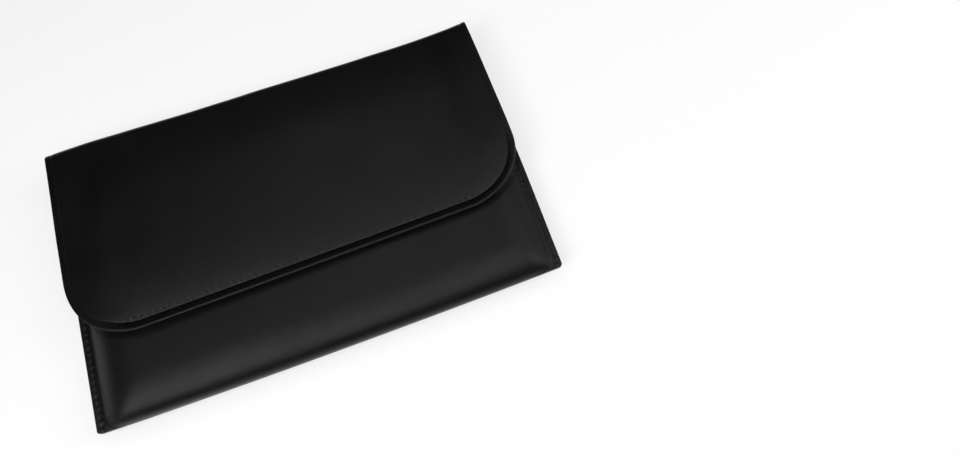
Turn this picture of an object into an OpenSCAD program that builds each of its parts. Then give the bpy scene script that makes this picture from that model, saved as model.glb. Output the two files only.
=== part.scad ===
// Flap wallet of padded imitation leather for a set of game tiles.
// X runs along the width, +Y from the bottom fold to the top crease, +Z up out of the flap.
// The origin is on the table, under the middle of the closed wallet, which lies on its back.

/* [Pouch] */
// Width of the pouch over its side seams
pouch_w = 240; // [200:1:300]
// Height of the pouch from the bottom fold to the top crease
pouch_h = 150; // [125:1:190]
// Clear thickness of the cavity, for two layers of tiles
cavity_t = 15.6; // [10:0.1:24]
// Width of the flat sewn seam along each side
seam_w = 4.5; // [3:0.5:8]
// Thickness of the flat sewn seam
seam_t = 2.8; // [2.4:0.1:4]
// Width over which the pouch swells from a seam to its full thickness
side_taper = 30; // [20:1:45]
// Outer radius of the bottom fold
fold_r = 3.2; // [2.5:0.1:5]
// Height over which the pouch swells from the fold to its full thickness
fold_taper = 27; // [18:1:35]
// Distance from the top crease down to the mouth of the pouch
mouth_drop = 11; // [9:0.5:20]
// Height of the turned edge inside the mouth
facing_h = 12; // [6:0.5:20]

/* [Layers] */
// Thickness of the imitation leather
leather_t = 0.8; // [0.6:0.1:1]
// Thickness of the board
board_t = 0.8; // [0.6:0.1:1.5]
// Thickness of the foam
foam_t = 1.0; // [0.8:0.1:2]
// Thickness of the lining
lining_t = 0.4; // [0.3:0.1:0.5]
// Gap round a board, a foam or a disc in its place
fit = 0.1; // [0.05:0.05:0.3]

/* [Flap] */
// Height of the flap's lower edge above the bottom fold
flap_up = 43; // [35:1:60]
// Distance that each side of the flap lies inside the pouch
flap_inset = 0; // [0:0.5:5]
// Radius of the two lower corners
flap_corner_r = 35; // [15:1:45]
// Width of the flat hem round the padding of the flap
flap_hem = 4.5; // [3.5:0.5:8]
// Gap between the closed flap and the pouch
flap_gap = 0.9; // [0.8:0.1:2]
// Outer radius of the two creases
crease_r = 4; // [3.8:0.1:6]
// Gap between two bodies where they meet at a crease
crease_gap = 0.3; // [0.2:0.05:0.6]

/* [Closure] */
// Diameter of a magnet in the flap
magnet_d = 12; // [8:0.5:16]
// Thickness of a magnet in the flap
magnet_t = 1.2; // [1:0.1:1.4]
// Diameter of a steel plate in the front
plate_d = 18; // [12:0.5:24]
// Thickness of a steel plate in the front
plate_t = 0.6; // [0.4:0.1:0.7]
// Distance between the two magnets
magnet_span = 120; // [60:1:150]
// Height of the magnets above the lower edge of the flap
magnet_up = 17; // [13:0.5:30]

/* [Stitches] */
// Diameter of the thread
thread_d = 0.5; // [0.3:0.05:0.6]
// Length of one stitch
stitch_l = 2.5; // [1.5:0.1:4]
// Distance from one stitch to the next
stitch_pitch = 3.5; // [3:0.1:6]
// Distance of a row of stitches from the edge of the material
stitch_in = 3; // [2:0.1:3]
// Distance of the seam rows from the bottom fold
stitch_up = 5; // [4:0.5:10]

/* [Hidden] */
$fn = 64;
steps = 8;
over = 1;

// The pouch, from the table up
pouch_t = cavity_t + 2 * leather_t + board_t + foam_t + 2 * lining_t;
mid_z = pouch_t / 2;
half_w = pouch_w / 2;
seam_x = half_w - seam_w;
flat_x = seam_x - side_taper;
bottom_y = -pouch_h / 2;
top_y = pouch_h / 2;
fold_y = bottom_y + fold_r;
flat_y = fold_y + fold_taper;
mouth_y = top_y - mouth_drop;
crease_y = top_y - crease_r;

// The flap and the spine, which have one thickness
core_t = board_t + foam_t;
flap_t = leather_t + core_t + lining_t;
flap_z = pouch_t + flap_gap;
top_z = flap_z + flap_t;
crease_z = top_z - crease_r;
flap_half = half_w - flap_inset;
flap_y = bottom_y + flap_up;
magnet_y = flap_y + magnet_up;
core_inset = flap_hem + leather_t + fit;

// Share of the full swelling at a share t of the taper
function swell(t) = sin(90 * t);

// Height of the inside or outside of the front and back where the swelling is s.
// skin is the depth below the surface, core is 1 for a layer that lies behind board or foam.
function front_z(edge, s, skin, core) =
    mid_z + edge - skin + (mid_z - edge - core * foam_t) * s;
function back_z(edge, s, skin, core) =
    mid_z - edge + skin - (mid_z - edge - core * board_t) * s;

function front_side(skin, core) = [for (i = [0:steps])
    [seam_x - i / steps * side_taper, front_z(seam_t / 2, swell(i / steps), skin, core)]];
function back_side(skin, core) = [for (i = [0:steps])
    [seam_x - i / steps * side_taper, back_z(seam_t / 2, swell(i / steps), skin, core)]];
function flipped(points) = [for (p = points) [-p[0], p[1]]];
function backwards(points) = [for (i = [len(points) - 1:-1:0]) points[i]];

// Outline across the width: a pillow that ends at its side seams
module width_outline(skin, core, flange) {
    edge = flange ? [[half_w, mid_z - seam_t / 2], [half_w, mid_z + seam_t / 2]] : [];
    polygon(concat(
        edge,
        front_side(skin, core),
        backwards(flipped(front_side(skin, core))),
        backwards(flipped(edge)),
        flipped(back_side(skin, core)),
        backwards(back_side(skin, core))));
}

// Outline along the height: a round fold, a pillow, and half of the back crease.
// past is how far a cutting shape runs on beyond the end of the pouch.
module height_outline(skin, core, past) {
    fold = fold_r - skin;
    corner = crease_r - skin - core * board_t;
    front_face = [for (i = [steps:-1:0])
        [fold_y + i / steps * fold_taper, front_z(fold_r, swell(i / steps), skin, core)]];
    fold_face = [for (i = [1:steps - 1])
        [fold_y - fold * sin(180 * i / steps), mid_z + fold * cos(180 * i / steps)]];
    back_face = [for (i = [0:steps])
        [fold_y + i / steps * fold_taper, back_z(fold_r, swell(i / steps), skin, core)]];
    crease = [for (i = [0:steps])
        let(a = -90 + i / steps * (45 + 10 * past))
        [crease_y + corner * cos(a), crease_r + corner * sin(a)]];
    polygon(concat(
        front_face, fold_face, back_face, crease,
        [[crease_y + past, crease_r + past],
        [crease_y + past, front_z(fold_r, 1, skin, core)]]));
}

// The outline a, b stands up in X and Z and runs along Y
module along_y(length) {
    rotate([90, 0, 0])
        linear_extrude(height = length, center = true) children();
}

// The outline a, b stands up in Y and Z and runs along X
module along_x(length) {
    rotate([90, 0, 90])
        linear_extrude(height = length, center = true) children();
}

// Solid pouch whose faces lie the depth skin below the outside
module pillow(skin, core, flange = false, past = 0) {
    intersection() {
        along_y(2 * pouch_h) width_outline(skin, core, flange);
        along_x(2 * pouch_w) height_outline(skin, core, past);
    }
}

// Everything in front of the back panel, from the height y up
module above_mouth(y) {
    translate([-pouch_w, y, mid_z])
        cube([2 * pouch_w, pouch_h, pouch_t]);
}

// Side view of the wrap of back, spine and flap, the depth skin below the outside
module wrap_outline(skin) {
    r = crease_r - skin;
    difference() {
        translate([crease_y - pouch_h, skin])
            square([pouch_h + r, top_z - 2 * skin]);
        for (side = [0, 1])
            translate([crease_y, side ? crease_z : crease_r])
                mirror([0, side ? 0 : 1])
                difference() {
                    square(r + over);
                    circle(r);
                }
    }
}

module wrap_band(skin, thickness) {
    difference() {
        wrap_outline(skin);
        wrap_outline(skin + thickness);
    }
}

// The part of the wrap that is the spine, between the middles of the two creases
module spine_limits() {
    reach = 2 * crease_r;
    gap = crease_gap / sqrt(2);
    polygon([[crease_y + gap, crease_r], [crease_y + gap + reach, crease_r - reach],
        [crease_y + gap + reach, crease_z + reach], [crease_y + gap, crease_z]]);
}

// The part of the wrap between the top of the flap and the middle of the upper crease
module flap_limits() {
    reach = 2 * crease_r;
    gap = crease_gap / sqrt(2);
    polygon([[crease_y - over, crease_z], [crease_y - gap, crease_z],
        [crease_y - gap + reach, crease_z + reach], [crease_y - over, crease_z + reach]]);
}

// Room for the spine above the lower face of the pouch, which rises to the side seams
module spine_room() {
    rise = back_side(0, 0);
    along_y(2 * pouch_h)
        polygon(concat(
            [[half_w, 2 * top_z], [half_w, mid_z - seam_t / 2]], rise,
            backwards(flipped(rise)), [[-half_w, mid_z - seam_t / 2], [-half_w, 2 * top_z]]));
}

module spine_layer(skin, thickness) {
    intersection() {
        along_x(2 * flap_half)
            intersection() {
                wrap_band(skin, thickness);
                spine_limits();
            }
        spine_room();
    }
}

// Half of the upper crease, in the flap's own layers
module crease_layer(skin, thickness) {
    along_x(2 * flap_half)
        intersection() {
            wrap_band(skin, thickness);
            flap_limits();
        }
}

// Outline of the flap, the distance inset inside its edge and up to the height y
module flap_outline(inset, y) {
    half = flap_half - inset;
    r = flap_corner_r - inset;
    low = flap_y + inset;
    translate([-half, low + r])
        square([2 * half, y - low - r]);
    translate([-half + r, low])
        square([2 * (half - r), 2 * r]);
    for (side = [-1, 1])
        translate([side * (half - r), low + r])
            circle(r);
}

module flap_plate(inset, y, z, thickness) {
    translate([0, 0, z])
        linear_extrude(height = thickness) flap_outline(inset, y);
}

// One stitch that lies along X on the plane z = 0
module stitch() {
    translate([0, 0, thread_d / 2])
        rotate([0, 90, 0])
        cylinder(d = thread_d, h = stitch_l, center = true);
}

// Rows on both faces of a layer from low_z to high_z
module both_faces(low_z, high_z) {
    translate([0, 0, high_z]) children();
    translate([0, 0, low_z]) mirror([0, 0, 1]) children();
}

module stitch_line(length) {
    count = floor(length / stitch_pitch);
    for (i = [0:count - 1])
        translate([(i - (count - 1) / 2) * stitch_pitch, 0, 0]) stitch();
}

module seam_stitches(side) {
    low = bottom_y + stitch_up;
    high = mouth_y - stitch_l / 2;
    both_faces(mid_z - seam_t / 2, mid_z + seam_t / 2)
        translate([side * (half_w - stitch_in), (low + high) / 2, 0])
        rotate([0, 0, 90]) stitch_line(high - low);
}

// Row round the sides, corners and lower edge of the flap, one stitch per step of its length
module flap_row() {
    r = flap_corner_r - stitch_in;
    x = flap_half - stitch_in;
    side_l = crease_y - stitch_l - flap_y - flap_corner_r;
    arc_l = r * PI / 2;
    low_l = 2 * (flap_half - flap_corner_r);
    count = floor((2 * side_l + 2 * arc_l + low_l) / stitch_pitch / 2);
    for (side = [-1, 1], i = [0:count - 1]) {
        run = (i + 0.5) * stitch_pitch;
        turn = (run - low_l / 2) / r * 180 / PI;
        if (run < low_l / 2)
            translate([side * run, flap_y + stitch_in, 0]) stitch();
        else if (turn < 90)
            translate([side * (x - r), flap_y + flap_corner_r, 0])
                rotate([0, 0, side * turn])
                translate([0, -r, 0]) stitch();
        else
            translate([side * x, flap_y + flap_corner_r + run - low_l / 2 - arc_l, 0])
                rotate([0, 0, 90]) stitch();
    }
}

module disc(side, z, diameter, thickness) {
    translate([side * magnet_span / 2, magnet_y, z])
        cylinder(d = diameter, h = thickness);
}

// Outer leather: front, bottom fold, back and half of the lower crease, sewn at the sides
module pocket_shell() {
    color([0.11, 0.11, 0.12])
        difference() {
            pillow(0, 0, flange = true);
            pillow(leather_t, 0, past = over);
            above_mouth(mouth_y);
        }
}

module pocket_lining() {
    color([0.2, 0.2, 0.21])
        difference() {
            pillow(leather_t, 1);
            pillow(leather_t + lining_t, 1, past = over);
            above_mouth(mouth_y);
        }
}

module back_board() {
    color([0.55, 0.5, 0.42])
        translate([-flat_x + fit, flat_y + fit, leather_t])
        cube([2 * (flat_x - fit), crease_y - flat_y - 2 * fit, board_t]);
}

module front_foam() {
    low = flat_y + fit;
    high = mouth_y - facing_h - fit;
    color([0.75, 0.75, 0.72])
        difference() {
            translate([-flat_x + fit, low, pouch_t - leather_t - foam_t])
                cube([2 * (flat_x - fit), high - low, foam_t]);
            for (side = [-1, 1])
                disc(side, pouch_t - leather_t - plate_t, plate_d + 2 * fit, plate_t + over);
        }
}

// Edge of the front that is turned in at the mouth
module mouth_facing() {
    color([0.11, 0.11, 0.12])
        translate([-flat_x + fit, mouth_y - facing_h, pouch_t - 2 * leather_t])
        cube([2 * (flat_x - fit), facing_h, leather_t]);
}

module mouth_stitches() {
    color([0.06, 0.06, 0.06])
        translate([0, mouth_y - stitch_in, pouch_t])
        stitch_line(2 * flat_x);
}

module left_seam_stitches() {
    color([0.06, 0.06, 0.06]) seam_stitches(-1);
}

module right_seam_stitches() {
    color([0.06, 0.06, 0.06]) seam_stitches(1);
}

module front_plate(side) {
    color([0.7, 0.7, 0.72])
        disc(side, pouch_t - leather_t - plate_t, plate_d, plate_t);
}

module spine_shell() {
    color([0.11, 0.11, 0.12]) spine_layer(0, leather_t);
}

module spine_foam() {
    color([0.75, 0.75, 0.72]) spine_layer(leather_t, core_t);
}

module spine_lining() {
    color([0.2, 0.2, 0.21]) spine_layer(leather_t + core_t, lining_t);
}

// Outer leather of the flap: a flat hem, the raised padded field and half of the upper crease
module flap_shell() {
    hem_z = flap_z + lining_t;
    color([0.11, 0.11, 0.12]) {
        difference() {
            union() {
                flap_plate(0, crease_y, hem_z, leather_t);
                flap_plate(flap_hem, crease_y, hem_z, core_t + leather_t);
            }
            flap_plate(flap_hem + leather_t, crease_y + over, hem_z - over, core_t + over);
        }
        crease_layer(0, leather_t);
    }
}

module flap_lining() {
    color([0.2, 0.2, 0.21]) {
        flap_plate(0, crease_y, flap_z, lining_t);
        crease_layer(leather_t + core_t, lining_t);
    }
}

module flap_board() {
    color([0.55, 0.5, 0.42])
        difference() {
            flap_plate(core_inset, crease_y - fit, flap_z + lining_t, board_t);
            for (side = [-1, 1])
                disc(side, flap_z, magnet_d + 2 * fit, flap_t);
        }
}

// The foam covers the magnets, so that they don't show
module flap_foam() {
    color([0.75, 0.75, 0.72])
        difference() {
            flap_plate(core_inset, crease_y - fit, flap_z + lining_t + board_t, foam_t);
            for (side = [-1, 1])
                disc(side, flap_z, magnet_d + 2 * fit, lining_t + magnet_t);
        }
}

module flap_stitches() {
    color([0.06, 0.06, 0.06])
        both_faces(flap_z, flap_z + lining_t + leather_t) flap_row();
}

module flap_magnet(side) {
    color([0.6, 0.6, 0.62])
        disc(side, flap_z + lining_t, magnet_d, magnet_t);
}

pocket_shell();
pocket_lining();
back_board();
front_foam();
mouth_facing();
mouth_stitches();
left_seam_stitches();
right_seam_stitches();
front_plate(-1);  // front_plate_left
front_plate(1);  // front_plate_right
spine_shell();
spine_foam();
spine_lining();
flap_shell();
flap_lining();
flap_board();
flap_foam();
flap_stitches();
flap_magnet(-1);  // flap_magnet_left
flap_magnet(1);  // flap_magnet_right
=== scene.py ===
import bpy
import math
import numpy as np
from mathutils import Matrix, Vector


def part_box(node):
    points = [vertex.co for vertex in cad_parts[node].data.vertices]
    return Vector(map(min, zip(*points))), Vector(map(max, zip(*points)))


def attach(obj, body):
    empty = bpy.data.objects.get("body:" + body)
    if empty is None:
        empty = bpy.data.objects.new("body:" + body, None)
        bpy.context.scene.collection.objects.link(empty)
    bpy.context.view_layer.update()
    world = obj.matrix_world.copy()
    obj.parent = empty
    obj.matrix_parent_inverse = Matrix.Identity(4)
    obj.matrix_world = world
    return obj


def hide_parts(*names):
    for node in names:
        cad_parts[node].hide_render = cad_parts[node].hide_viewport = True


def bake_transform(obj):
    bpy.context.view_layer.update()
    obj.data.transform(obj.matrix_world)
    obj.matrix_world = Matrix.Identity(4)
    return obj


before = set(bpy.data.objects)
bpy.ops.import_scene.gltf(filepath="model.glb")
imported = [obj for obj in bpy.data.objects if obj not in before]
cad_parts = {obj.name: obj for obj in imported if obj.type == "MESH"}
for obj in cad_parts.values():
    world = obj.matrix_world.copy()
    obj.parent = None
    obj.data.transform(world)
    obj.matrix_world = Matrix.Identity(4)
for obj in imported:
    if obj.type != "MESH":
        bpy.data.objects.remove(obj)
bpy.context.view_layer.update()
mm = 0.001  # lengths below are in millimetres, as the pattern maker writes them


# Sizes that come from the frame
def nodeBox(name):
    low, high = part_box(name)
    return np.array(low) / mm, np.array(high) / mm


pouchLow, pouchHigh = nodeBox("pocket_shell")
flapLow, flapHigh = nodeBox("flap_shell")
spineHigh = nodeBox("spine_shell")[1]
facingLow, facingHigh = nodeBox("mouth_facing")
seamLow, seamHigh = nodeBox("left_seam_stitches")
magnetLow, magnetHigh = nodeBox("flap_magnet_right")

pouch = {
    "halfWidth": pouchHigh[0],
    "bottom": pouchLow[1],
    "top": spineHigh[1],
    "mouth": facingHigh[1],
    "height": pouchHigh[2],
    "seamWidth": 4.5,
    "seamThickness": 2.8,
    "sideTaper": 25.0,  # width over which the sides swell
    "sidePower": 2.6,  # higher is a fuller side
    "foldTaper": 19.5,  # height over which the lower end swells
    "foldPower": (0.32, 0.45),  # lower is a fuller end, at the left and at the right
    "cornerBlend": 1.8,  # lower is a rounder lower corner
    "leather": 0.8,
    # a reach is a height where something starts and the length over which it grows
    "foldSag": 1.1,  # the bottom fold bows outwards by this
    "foldReach": (-20.0, -55.0),
    "creaseSag": 0.7,  # the middle of the top crease bows inwards by this
    "creaseReach": (25.0, 46.0),
    "leftFlare": 0.6,  # the ends of the top crease stand out by this
    "rightFlare": 4.2,
    "flarePower": (6, 8),  # higher keeps the flare closer to the left and the right end
    "lean": 1.1,  # the right side leans out by this
    "leanReach": (-45.0, 120.0),
    "creaseShift": 0.7,  # the crease lies this far to the right
    "shiftReach": (20.0, 50.0),
    "creaseRadius": 4.0,
    "creaseEdgeRound": 0.6,
    "leastSpine": 0.3,  # at least this much of the spine stays flat below its middle
    "cornerRadius": 2.0,
    "cornerReach": 9.0,
    "waviness": 0.3,
    "seed": 5,  # of the unevenness
    "calmWidth": 40.0,  # the unevenness fades out over this towards the sides and the fold
    "furrow": 0.8,  # the edge of the flap presses the front in by this
    "furrowWidth": 2.2,
    "furrowRun": 6.0,  # the same under the flap
    "furrowFrom": (2.0, 4.0),  # only where the front is this thick and thicker
    "rimRound": 0.4,
    "rimThickness": 0.55,
    "seamGap": 0.12,  # the two layers of a seam stay apart by twice this
    "turnedFade": (4.0, 1.5),  # the turned-in leather thins out this far inside, over this
    "stitchInset": 3.0,
    "stitchDent": 0.15,
    "dentWidth": 0.6,
    "lipRadius": 0.8,  # half the thickness of the folded edge at the mouth
    "lipRoom": 0.2,
    "lipGap": 0.05,
    "lipFilled": 0.96,  # share of that half which the turned-in leather fills
}
flap = {
    "halfWidth": flapHigh[0] - 0.9,
    "low": flapLow[1] - 1.8,
    "base": flapLow[2] - 0.4,
    "thickness": flapHigh[2] - flapLow[2] + 0.4,
    "creaseThickness": 2.0,  # the padding thins out towards the crease
    "thinFrom": 36.0,  # height above the middle where it starts to
    "ridge": 1.0,  # from the lower edge up to ridgeTop it grows thicker by this
    "ridgeTop": 48.0,
    "cornerRadius": 35.0,
    "skew": 2.1,  # the left end of the lower edge hangs lower by this, the right end less
    "skewReach": (20.0, -50.0),
    "edgeRound": 0.3,
    "beadCrest": 0.9,  # distance of the top of the turned hem from the edge
    "beadHeight": 1.75,
    "beadDrop": 0.35,  # the hem falls by this to the edge
    "stitchInset": 3.0,
    "stitchDent": 0.2,  # where the groove has run out, the stitches dent the edge by this
    "dentWidth": 0.7,
    "grooveHeight": 0.65,
    "groovePower": 1.8,  # higher is a fuller hem and a steeper groove
    "wallFrom": 3.7,  # the padding rises steeply here
    "wallWidth": 1.3,
    "wallHeight": 2.0,
    "wallPower": 0.5,  # lower is a steeper rise
    "crown": 0.8,  # further rise of the padding
    "crownWidth": 10.0,
    "leftFade": (-31.0, 13.0),  # the groove runs out up the sides, from this height over this length
    "rightFade": (-4.0, 18.0),
    "fadeFrom": 32.0,  # distance inside the left edge where the left fade starts
    "fadeWidth": 14.0,
    "rimWidth": 25.0,
    "creaseRim": 1.6,  # thickness of the side edges at the crease
    "plainRim": 2.0,  # thickness of the side edges without a groove
    "plainWidth": 28.0,
    "rollWidth": 24.6,  # the sides curl down over this width
    "rollAngle": 10.0,
    "rollKept": 0.85,  # share of the curl that is left at the crease
    "rollReach": (30.0, 41.0),
    "leather": 0.8,
    "lipWidth": (1.2, 0.5),  # the leather folds down over the edge, this far in
    "lipHeight": 0.02,
    "lining": 0.4,
    "liningGap": 0.03,
    "board": 0.8,
    "leastFoam": 0.2,
    "layerGap": 0.04,
    "magnetGap": 1.6,
    "waviness": 0.35,
    "seed": 11,
    "calmEdge": (8.0, 22.0),  # the unevenness starts this far inside the edge and grows over this
    "step": 1.6,  # size of the mesh faces
    "innerStep": 2.4,
    "creaseRows": 11,
}
midZ = pouch["height"] / 2
creaseY = pouch["top"] - pouch["creaseRadius"]
creaseZ = flap["base"] + flap["creaseThickness"] - pouch["creaseRadius"]
creaseTurn = pouch["creaseRadius"] * math.pi / 2
spineMid = (pouch["creaseRadius"] + creaseZ) / 2
spineEnd = creaseY + creaseTurn + creaseZ - spineMid
creaseInner = pouch["creaseRadius"] - flap["creaseThickness"]
rollRadius = flap["rollWidth"] / math.radians(flap["rollAngle"])
flatHalf = flap["halfWidth"] + flap["rollWidth"] - rollRadius * math.sin(math.radians(flap["rollAngle"]))


# Small helpers
def smooth(t):
    t = np.clip(t, 0, 1)
    return t * t * (3 - 2 * t)


def ramp(value, start, length):
    # 0 at the start, 1 at the end of the length, which may run downwards
    return smooth((value - start) / length)


def dent(distance, width):
    return np.exp(-(distance / width) ** 2)


def bulge(t, power):
    # Rises steeply from 0 and levels off at 1
    return (1 - (1 - np.clip(t, 0, 1)) ** 2) ** power


def edgeRound(distance, radius):
    # Drop of a rounded edge at a distance inside it
    inside = np.clip(radius - distance, 0, radius)
    return radius - np.sqrt(np.clip(radius ** 2 - inside ** 2, 0, None))


waveLengths = (86, 57, 41, 29, 21)


def waves(x, y, seed):
    # Broad, shallow unevenness from 0 to 1, the same on every run
    rng = np.random.default_rng(seed)
    total = np.zeros(np.broadcast(x, y).shape)
    for length in waveLengths:
        angle, phase = rng.uniform(0, 2 * math.pi, 2)
        along = x * math.cos(angle) + y * math.sin(angle)
        total = total + length / waveLengths[0] * np.sin(2 * math.pi * along / length + phase)
    return np.clip(0.5 + total / len(waveLengths), 0, 1)


def spaced(start, end, step):
    return np.linspace(start, end, max(2, int(round(abs(end - start) / step)) + 1))


def joined(*parts):
    # One run of values; the end of a part is the start of the next
    run = list(parts[0])
    for part in parts[1:]:
        run.extend(part[1:])
    return np.array(run)


sharpAngle = 40  # edges with a smaller bend are shaded smooth


def meshObject(name, points, faces, material):
    mesh = bpy.data.meshes.new(name)
    mesh.from_pydata([tuple(p) for p in np.asarray(points) * mm], [], faces)
    mesh.validate()
    mesh.polygons.foreach_set("use_smooth", [True] * len(mesh.polygons))
    mesh.set_sharp_from_angle(angle=math.radians(sharpAngle))
    mesh.materials.append(material)
    obj = bpy.data.objects.new(name, mesh)
    bpy.context.scene.collection.objects.link(obj)
    return obj


def gridFaces(index):
    # Quads over a table of vertex numbers
    faces = []
    rows, columns = index.shape
    for i in range(rows - 1):
        for j in range(columns - 1):
            quad = (index[i, j], index[i, j + 1], index[i + 1, j + 1], index[i + 1, j])
            faces.append(tuple(int(v) for v in quad))
    return faces


def borderEdges(faces):
    # Directed edges that only one face uses
    edges = set()
    for face in faces:
        for a, b in zip(face, face[1:] + face[:1]):
            edges.add((a, b))
    return sorted((a, b) for a, b in edges if (b, a) not in edges)


def closedSheet(name, outer, inner, faces, material):
    # A sheet with thickness: outer and inner surface with a wall all round.
    # Points that no face uses are dropped.
    used = sorted({v for face in faces for v in face})
    place = {v: i for i, v in enumerate(used)}
    faces = [tuple(place[v] for v in face) for face in faces]
    outer, inner = np.asarray(outer)[used], np.asarray(inner)[used]
    a, b, c = (outer[[f[k] for f in faces]] for k in (0, 1, 2))
    across = np.cross(b - a, c - b)
    if np.sum(across * (outer - inner)[[f[0] for f in faces]]) < 0:
        faces = [tuple(reversed(face)) for face in faces]
    count = len(outer)
    back = [tuple(v + count for v in reversed(face)) for face in faces]
    wall = [(b, a, a + count, b + count) for a, b in borderEdges(faces)]
    return meshObject(name, np.concatenate([outer, inner]), faces + back + wall, material)


# Materials
def addNode(tree, kind, values=None):
    return setInputs(tree, tree.nodes.new(kind), values or {})


def setInputs(tree, node, values):
    # Each value is a constant or an output of another node
    for label, value in values.items():
        if isinstance(value, bpy.types.NodeSocket):
            tree.links.new(value, node.inputs[label])
        else:
            node.inputs[label].default_value = value
    return node


def newMaterial(name, kind="ShaderNodeBsdfPrincipled"):
    material = bpy.data.materials.new(name)
    material.use_nodes = True
    tree = material.node_tree
    tree.nodes.clear()
    shader = addNode(tree, kind)
    return material, tree, shader


def showSurface(tree, surface, output="ShaderNodeOutputMaterial"):
    addNode(tree, output, {"Surface": surface.outputs[0]})


def newGroup(name, inputs, outputs, kind="ShaderNodeTree"):
    group = bpy.data.node_groups.new(name, kind)
    for label, form, value in inputs:
        socket = group.interface.new_socket(name=label, in_out="INPUT", socket_type=form)
        if value is not None:
            socket.default_value = value
    for label, form in outputs:
        group.interface.new_socket(name=label, in_out="OUTPUT", socket_type=form)
    return group, group.nodes.new("NodeGroupInput").outputs


def mathNode(tree, operation, a, b=None):
    node = addNode(tree, "ShaderNodeMath", {0: a} if b is None else {0: a, 1: b})
    node.operation = operation
    return node.outputs[0]


def vectorNode(tree, operation, values):
    node = tree.nodes.new("ShaderNodeVectorMath")
    node.operation = operation
    return setInputs(tree, node, values).outputs


def noiseNode(tree, vector, scale, detail):
    return addNode(tree, "ShaderNodeTexNoise", {"Vector": vector, "Scale": scale, "Detail": detail}).outputs


def rangeNode(tree, value, low, high, fromLow=0.0, fromHigh=1.0):
    values = {"Value": value, "From Min": fromLow, "From Max": fromHigh, "To Min": low, "To Max": high}
    return addNode(tree, "ShaderNodeMapRange", values).outputs["Result"]


def bumpNode(tree, height, strength, distance, under=None):
    values = {"Strength": strength, "Distance": distance * mm, "Height": height}
    if under is not None:
        values["Normal"] = under
    return addNode(tree, "ShaderNodeBump", values).outputs["Normal"]


def colourRamp(tree, value, stops):
    ramp = addNode(tree, "ShaderNodeValToRGB", {"Fac": value})
    for element, (position, colour) in zip(ramp.color_ramp.elements, stops):
        element.position = position
        element.color = (*colour, 1)
    return ramp.outputs["Color"]


noiseLow, noiseHigh = 0.3, 0.7  # the part of its range that noise really covers

grainPattern = {
    "warpScale": 900,  # bends the pebbles
    "warpShift": 0.0005,
    "valley": 0.28,  # width of the slopes between the pebbles, as a share of their size
    "patchScale": 34,
    "unevenScale": 420,
}


def buildGrainGroup(pattern):
    # Fine pebbled grain with soft, uneven patches
    inputs = [
        ("Vector", "NodeSocketVector", None),
        ("Grain Size", "NodeSocketFloat", 0.5),
        ("Grain Depth", "NodeSocketFloat", 0.5),
        ("Unevenness", "NodeSocketFloat", 0.5),
    ]
    outputs = [("Height", "NodeSocketFloat"), ("Patches", "NodeSocketFloat")]
    group, start = newGroup("leatherGrain", inputs, outputs)
    vector = start["Vector"]
    warp = noiseNode(group, vector, pattern["warpScale"], 2)["Color"]
    shift = vectorNode(group, "SCALE", {0: warp, "Scale": pattern["warpShift"]})[0]
    moved = vectorNode(group, "ADD", {0: vector, 1: shift})[0]
    scale = mathNode(group, "DIVIDE", 1 / mm, start["Grain Size"])
    cells = addNode(group, "ShaderNodeTexVoronoi", {"Vector": moved, "Scale": scale})
    cells.feature = "DISTANCE_TO_EDGE"
    values = {"Value": cells.outputs["Distance"], "From Max": pattern["valley"]}
    pebble = addNode(group, "ShaderNodeMapRange", values)
    pebble.interpolation_type = "SMOOTHSTEP"
    patches = noiseNode(group, vector, pattern["patchScale"], 3)["Fac"]
    fine = noiseNode(group, vector, pattern["unevenScale"], 2)["Fac"]
    grain = mathNode(group, "MULTIPLY", pebble.outputs["Result"], start["Grain Depth"])
    broad = mathNode(group, "MULTIPLY", fine, start["Unevenness"])
    height = mathNode(group, "ADD", grain, broad)
    addNode(group, "NodeGroupOutput", {"Height": height, "Patches": patches})
    return group


def buildWeaveGroup():
    # Plain weave of fine threads
    inputs = [("Vector", "NodeSocketVector", None), ("Thread Size", "NodeSocketFloat", 0.4)]
    group, start = newGroup("plainWeave", inputs, [("Height", "NodeSocketFloat")])
    place = addNode(group, "ShaderNodeSeparateXYZ", {0: start["Vector"]}).outputs
    turn = mathNode(group, "DIVIDE", math.pi / mm, start["Thread Size"])
    lift = mathNode(group, "ADD", place["Y"], place["Z"])
    across = mathNode(group, "SINE", mathNode(group, "MULTIPLY", place["X"], turn))
    along = mathNode(group, "SINE", mathNode(group, "MULTIPLY", lift, turn))
    addNode(group, "NodeGroupOutput", {"Height": mathNode(group, "MULTIPLY", across, along)})
    return group


leatherLook = {
    "dark": (0.0009, 0.0009, 0.0010),
    "light": (0.0016, 0.0016, 0.0018),
    "roughLow": 0.36,
    "roughHigh": 0.46,
    "specular": 0.28,
    "grainSize": 0.55,
    "grainDepth": 0.6,
    "unevenness": 0.5,
    "bump": 0.35,
    "bumpDistance": 0.12,
    "pucker": 0.075,  # height of the small folds between the stitches of the seams
    "puckerReach": ((1.6, 0.2), (0.3, 1.6)),  # distances at which they grow and fade
    "puckerKept": 0.1,
    "hemPucker": 0.09,  # the same above the hem of the flap
    "hemReach": ((1.8, 0.2), (0.2, 1.8)),
    "puckerPitch": 3.5,
}


def puckers(tree, over, along, line, reach, kept):
    # Small folds where each stitch pulls the leather in: over is the place across the line of
    # stitches, along the place down it. They grow up to the line, fade beyond it, and a share of
    # them is kept.
    grow, fade = reach
    near = rangeNode(tree, over, 0, 1, (line - grow[0]) * mm, (line - grow[1]) * mm)
    far = rangeNode(tree, over, 1, kept, (line + fade[0]) * mm, (line + fade[1]) * mm)
    wave = mathNode(tree, "MULTIPLY", along, 2 * math.pi / (leatherLook["puckerPitch"] * mm))
    fold = mathNode(tree, "COSINE", wave)
    return mathNode(tree, "MULTIPLY", fold, mathNode(tree, "MULTIPLY", near, far))


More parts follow.
